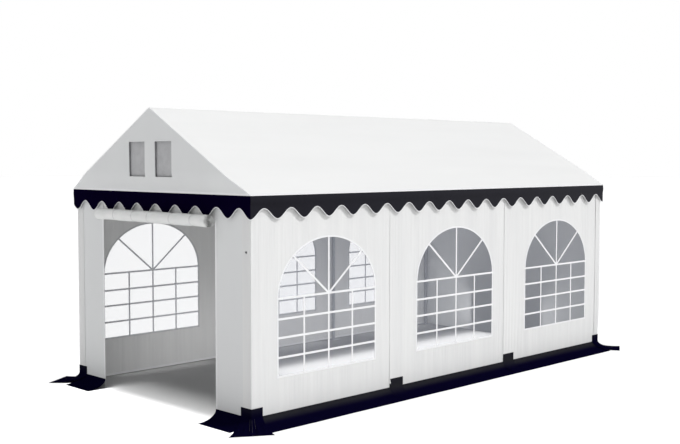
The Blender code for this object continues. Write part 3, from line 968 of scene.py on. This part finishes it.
def roll_section():
    """The rolled door's section from its head down, as (y, z) points, and how many are the flat head."""
    head_y = -WALL_Y + 0.001
    line = [(head_y, z) for z in spread(END_WALL_TOP - 0.002, ROLL_Z + 0.03, 0.03)]
    bend_z = ROLL_Z - ROLL_RADIUS * 0.35
    line.append((head_y - 0.004, bend_z + 0.03))
    line.append((head_y - 0.020, bend_z + 0.004))
    flat = len(line)
    steps = round(ROLL_TURNS * 26)
    start = -0.35
    for step in range(steps + 1):
        share = step / steps
        turn = start - 2 * math.pi * ROLL_TURNS * share
        radius = lerp(ROLL_RADIUS, ROLL_CORE, share)
        line.append((ROLL_Y + radius * math.cos(turn), ROLL_Z + radius * math.sin(turn)))
    return line, flat


def roll_lumps(x, turn):
    """How the roll's surface swells between its ties and creases at them."""
    pinch = sum(math.exp(-(((x - tie) / 0.016) ** 2)) for tie in ROLL_TIES)
    swell = 0.0040 * drift(101, x * 4.0, math.cos(turn), math.sin(turn))
    swell += 0.0026 * drift(102, x * 14.0, 2 * math.cos(turn), 2 * math.sin(turn))
    return swell - 0.0065 * min(pinch, 1.0)


def make_door_roll():
    """The door, rolled up. Its flat length is that of the modelled section."""
    line, flat = roll_section()
    rows = len(line) - 1

    def point(u, v):
        index = round(v * rows)
        y, z = line[index]
        rolled = smooth((index - 2) / flat)
        left = lerp(-DOOR_HALF + 0.002, ROLL_X[0], rolled)
        right = lerp(DOOR_HALF - 0.002, ROLL_X[1], rolled)
        inner = max(index - flat, 0) / (len(line) - flat)
        ragged = 0.016 * drift(105, 16 * inner, 3 * u) * (1 if index > flat else 0)
        x = lerp(left, right, u) + ragged * (abs(2 * u - 1) ** 8)
        if index > flat:
            turn = math.atan2(z - ROLL_Z, y - ROLL_Y)
            radius = math.hypot(y - ROLL_Y, z - ROLL_Z)
            grown = 1 + roll_lumps(x, turn) * (1 - inner) / ROLL_RADIUS
            grown = min(grown, 1.0)
            y, z = ROLL_Y + (y - ROLL_Y) * grown, ROLL_Z + (z - ROLL_Z) * grown
        return (x, y, z)

    name, nodes = "rolled_door", ("door_roll",)
    door = make_sheet(name, 84, rows, point, (0, -1, 0), ROLL_CLOTH, PVC, nodes, offset=0.0)
    length = sum(math.dist(a, b) for a, b in zip(line, line[1:]))
    ties = [make_roll_tie(number, x) for number, x in enumerate(ROLL_TIES, start=1)]


def make_roll_tie(number, x):
    """A narrow strap from the head, round the front of the roll and back."""

    def point(u, v):
        turn = lerp(0.35 * math.pi, 1.85 * math.pi, v)
        grown = ROLL_RADIUS + 0.0006 + roll_lumps(x, turn)
        across = lerp(-TIE_WIDTH / 2, TIE_WIDTH / 2, u)
        return (x + across, ROLL_Y + grown * math.cos(turn), ROLL_Z + grown * math.sin(turn))

    def outward(place):
        return Vector((0, place.y - ROLL_Y, place.z - ROLL_Z))

    name = f"roll_tie_{number}"
    return make_sheet(name, 4, 48, point, outward, WEBBING, 0.0012, offset=1.0)


# Skirts and corner patches


def cove(v, reach, top, offset):
    """A sweep from the wall to the ground as (out, up), for v from 0 at its top to 1 at its edge."""
    turn = math.pi / 2 * v
    rest = TRIM_PVC + 0.0004
    return offset + (reach - offset) * (1 - math.cos(turn)), rest + (top - rest) * (1 - math.sin(turn))


def skirt_point(along, v, seed, offset=0.0015):
    """Out and up on a skirt, with its top hem, slack creases and a slightly uneven edge."""
    reach = SKIRT_REACH + 0.004 * drift(seed, along * 1.5) + 0.002 * drift(seed + 1, along * 7)
    out, up = cove(v, reach - 0.004, SKIRT_TOP, offset)
    slack = math.sin(math.pi * v) ** 2
    up += slack * (0.006 * drift(seed + 2, along * 3.0) + 0.003 * drift(seed + 3, along * 11.0, v * 2))
    out += 0.0012 * smooth(1 - v / 0.12)
    return out, max(up, TRIM_PVC)


def make_skirt(node, start, stop, place, outward, cloth):
    """A skirt sewn to a wall, between two lengths along it."""
    name, columns = f"ground_{node}", max(12, round(abs(stop - start) / 0.03))
    seed = 110 + sum(map(ord, name)) % 23

    def point(u, v):
        along = lerp(start, stop, u)
        return place(along, *skirt_point(along, v, seed))

    skirt = make_sheet(name, columns, 16, point, outward, cloth, TRIM_PVC, (node,))
    section = [cove(v / 20, SKIRT_REACH, SKIRT_TOP, 0.0) for v in range(21)]
    width = sum(math.dist(a, b) for a, b in zip(section, section[1:]))


def make_skirts():
    before, behind = (on_plane(sign, WALL_Y, end=True) for _, sign in ENDS)
    for side, sign in SIDES:
        beside = on_plane(sign, WALL_X)
        end = WALL_Y - 0.035
        make_skirt(f"skirt_{side}", -end, end, beside, (sign, 0, 1), SKIRT_CLOTH)
        inner, outer = sign * DOOR_HALF, sign * (WALL_X - 0.05)
        node, wall = f"skirt_front_{side}", f"front_cloth_{side}"
        make_skirt(node, inner, outer, before, (0, -1, 1), END_SKIRT_CLOTH)
        for number, line in BAY_JOINTS:
            make_joint_cover(side, sign, number, line, beside)
    end = WALL_X - 0.05
    make_skirt("skirt_back", -end, end, behind, (0, 1, 1), END_SKIRT_CLOTH)


def make_joint_cover(side, sign, number, line, place):
    """A patch over the skirt's joint, which starts higher up the wall."""
    rise = COVER_TOP - SKIRT_TOP

    def point(u, v):
        along = line + COVER_WIDTH * (u - 0.5)
        if v < 0.3:
            out, up = 0.0035, COVER_TOP - rise * v / 0.3
        else:
            out, up = skirt_point(along, (v - 0.3) / 0.7, 110, offset=0.0035)
            up += 0.002
        return place(along, out, up)

    name = f"joint_cover_{side}_{number}"
    cover = make_sheet(name, 12, 24, point, (sign, 0, 1), COVER_CLOTH, TRIM_PVC)


def patch_point(u, v, tips):
    """Offsets (x, y, z) from a corner on its patch. u runs from the side wall to the end wall."""
    out = 0.0035
    if u <= 0.5:
        head = Vector((out, -PATCH_ON_SIDE)).lerp(Vector((out, out)), 2 * u)
    else:
        head = Vector((out, out)).lerp(Vector((-PATCH_ON_END, out)), 2 * u - 1)
    tip = Vector(tips[0]).lerp(Vector(tips[1]), u)
    if v < PATCH_UPRIGHT:
        return (head.x, head.y, lerp(PATCH_TOP, PATCH_FOLD, v / PATCH_UPRIGHT))
    share, up = cove((v - PATCH_UPRIGHT) / (1 - PATCH_UPRIGHT), 1.0, PATCH_FOLD, 0.0)
    spot = head.lerp(tip, share)
    gather = math.cos(2 * math.pi * 5 * (u - 0.5)) * math.sin(math.pi * min(share * 1.15, 1.0))
    up += 0.008 * gather * (1 - abs(2 * u - 1)) ** 0.5 + 0.003 * drift(131, u * 5, share * 3)
    spot += (tip - head).normalized() * 0.004 * drift(133, u * 6) * share
    return (spot.x, spot.y, max(up, TRIM_PVC))


def make_corner_patches():
    for end, sign_y in ENDS:
        for side, sign_x in SIDES:

            def point(u, v, sign_x=sign_x, sign_y=sign_y, tips=PATCH_TIPS[f"{end}_{side}"]):
                x, y, z = patch_point(u, v, tips)
                return (sign_x * (WALL_X + x), sign_y * (WALL_Y + y), z)

            name, nodes = f"corner_gusset_{end}_{side}", (f"corner_patch_{end}_{side}",)
            outward, cloth = (sign_x, sign_y, 1), END_SKIRT_CLOTH
            patch = make_sheet(name, 48, 28, point, outward, cloth, TRIM_PVC, nodes)
            # Grey cords along three gathers: painted highlights.
            paths = []
            for u, stop in PATCH_STREAKS:
                paths.append([Vector(point(u, v)) + Vector((0, 0, 0.0006)) for v in spread(0.30, stop, 0.03)])
            highlight_streaks = piping(f"gusset_highlights_{end}_{side}", paths, 0.0012, HIGHLIGHT_CORD)


# Small fittings


def make_eyelet():
    """The eyelet in the front panel beside the near corner."""
    (x, z), front = EYELET, -WALL_Y - CORNER_PROUD

    def spot(turn, reach, proud):
        return (x + reach * math.cos(turn), front - proud, z + reach * math.sin(turn))

    path = [spot(2 * math.pi * step / 24, EYELET_RADIUS, 0.0012) for step in range(24)]
    piping("eyelet", [path], 0.0026, EYELET_STEEL, closed=True)

    # A black disc inside the ring: painted shade for the dark hole.
    def point(u, v):
        return spot(2 * math.pi * u, EYELET_RADIUS * lerp(0.05, 1.0, v), 0.0008)

    make_sheet("eyelet_shade_disc", 24, 2, point, (0, -1, 0), BLACK_CLOTH, 0.0003)


def make_peg_loop():
    """The webbing loop for a ground peg at the far front corner."""
    start = Vector((-WALL_X - 0.10, -WALL_Y + 0.03, 0.012))
    stop = Vector((-WALL_X - 0.17, -WALL_Y - 0.01, 0.006))

    def point(u, v):
        spot = start.lerp(stop, v)
        across = (stop - start).cross(Vector((0, 0, 1))).normalized() * lerp(-0.009, 0.009, u)
        return spot + across + Vector((0, 0, 0.012 * math.sin(math.pi * v)))

    make_sheet("peg_loop", 3, 14, point, (0, 0, 1), WEBBING, 0.0016)


# Studio


def make_camera():
    forward = Vector((-math.sin(CAMERA_YAW), math.cos(CAMERA_YAW), 0)) * math.cos(CAMERA_PITCH)
    forward.z = -math.sin(CAMERA_PITCH)
    level = Vector((math.cos(CAMERA_YAW), math.sin(CAMERA_YAW), 0))
    right = level * math.cos(CAMERA_ROLL) + level.cross(forward) * math.sin(CAMERA_ROLL)
    turned = Matrix((right, right.cross(forward), -forward)).transposed()
    camera = new_object("camera", bpy.data.cameras.new("camera"))
    camera.data.lens = CAMERA_LENS
    camera.data.clip_end = 500
    camera.matrix_world = Matrix.Translation(CAMERA_PLACE) @ turned.to_4x4()
    bpy.context.scene.camera = camera


def make_floor(name, low, high, z):
    """A plain pale floor between two corners in plan. No reflection shows it."""

    def point(u, v):
        return (lerp(low[0], high[0], u), lerp(low[1], high[1], v), z)

    mesh = grid_mesh(name, 4, 4, point, (0, 0, 1))
    material, _, shader, _ = new_material(name)
    tone = (FLOOR_TONE, FLOOR_TONE, FLOOR_TONE, 1.0)
    set_values(shader, {"Base Color": tone, "Roughness": 0.9, "Specular IOR Level": 0.0})
    mesh.materials.append(material)
    floor = new_object(name, mesh)
    floor.visible_glossy = False
    return floor


def make_world():
    """An even pale sky. The camera sees it white, and it lights the scene less than that would."""
    world = bpy.data.worlds.new("studio")
    world.use_nodes = True
    tree = world.node_tree
    sky = tree.nodes["Background"]
    set_values(sky, {"Color": (0.97, 0.985, 1.0, 1.0), "Strength": SKY_STRENGTH})
    white = add_node(tree, "ShaderNodeBackground", {"Color": (1.0, 1.0, 1.0, 1.0), "Strength": 1.0})
    path = tree.nodes.new("ShaderNodeLightPath")
    mix = tree.nodes.new("ShaderNodeMixShader")
    tree.links.new(path.outputs["Is Camera Ray"], mix.inputs["Fac"])
    tree.links.new(sky.outputs["Background"], mix.inputs[1])
    tree.links.new(white.outputs["Background"], mix.inputs[2])
    tree.links.new(mix.outputs["Shader"], tree.nodes["World Output"].inputs["Surface"])
    bpy.context.scene.world = world


def make_lamp(name, kind, power, only=None):
    """A lamp. With only, it lights those objects and no others."""
    lamp = new_object(name, bpy.data.lights.new(name, kind))
    lamp.data.energy = power
    if only:
        lit = bpy.data.collections.new(f"{name}_lights")
        for obj in only:
            lit.objects.link(obj)
        lamp.light_linking.receiver_collection = lit
    return lamp


def make_sun(name, toward, strength, softness, only=None):
    """Light from a direction. A white surface that faces it shows a level of strength."""
    sun = make_lamp(name, "SUN", strength * math.pi, only)
    sun.data.angle = math.radians(softness)
    sun.rotation_euler = Vector(toward).to_track_quat("Z", "Y").to_euler()


def make_glow(name, place, turned, size, power, only):
    """A rectangular lamp that neither the camera nor a reflection shows."""
    glow = make_lamp(name, "AREA", power, only)
    glow.data.shape = "RECTANGLE"
    glow.data.size, glow.data.size_y = size
    glow.matrix_world = Matrix.Translation(place) @ turned.to_4x4()
    glow.visible_camera = False
    glow.visible_glossy = False


def make_light():
    """Light on the tent, and more on the floor, which has to be white up to the doorway.

    The floor inside is one of its own, with a sun and a glow of its own. It sends no light back to the
    walls, and a glow low down on each side wall stands in for that.
    """
    make_world()
    tent = [obj for obj in bpy.context.scene.objects if obj.type in ("MESH", "CURVE")]
    inner = make_floor("inner_floor", (-1.49, -3.3), (1.49, 2.99), 0.0003)
    inner.visible_diffuse = False
    floor = make_floor("floor", (-120, -120), (120, 120), 0.0)
    make_sun("key", (0.62, 0.30, 0.70), 0.51, 8, only=tent)
    make_sun("side", (0.70, 0.70, 0.06), 0.11, 60, only=tent)
    make_sun("fill", (-0.45, -0.60, 0.66), 0.10, 12, only=tent)
    make_sun("overhead", (0.05, 0.0, 1.0), 0.22, 60)
    make_sun("floor_light", (0.0, -0.08, 1.0), 1.65, 7, only=[floor, inner])
    make_sun("doorway_light", (0.0, -0.22, 0.97), 1.05, 22, only=[inner])
    level = Matrix.Identity(3)
    make_glow("inner_glow", (0.50, 0.85, 0.16), level, (2.0, 4.2), INNER_GLOW, [inner])
    for side, sign in SIDES:
        to_wall = Matrix(((0, 0, -sign), (1, 0, 0), (0, -sign, 0)))
        make_glow(f"wall_glow_{side}", (sign * 0.6, 0.35, 0.32), to_wall, (5.2, 0.5), WALL_GLOW, tent)


make_camera()
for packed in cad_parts.values():
    packed.data.materials.clear()
    packed.data.materials.append(STEEL)
make_roof()
make_gables()
make_valances()
for side, sign in SIDES:
    for bay, start, stop in BAYS:
        make_side_wall(side, sign, bay, start, stop)
        make_window(side, sign, bay, start, stop)
    for number, line in BAY_JOINTS:
        make_seam_flap(side, sign, number, line)
    make_corner_flap(side, sign)
    make_foot_hem(side, sign)
make_end_walls()
make_door_roll()
make_skirts()
make_corner_patches()
make_eyelet()
make_peg_loop()
settle_meshes()
make_light()
bpy.context.scene.view_settings.view_transform = "Standard"
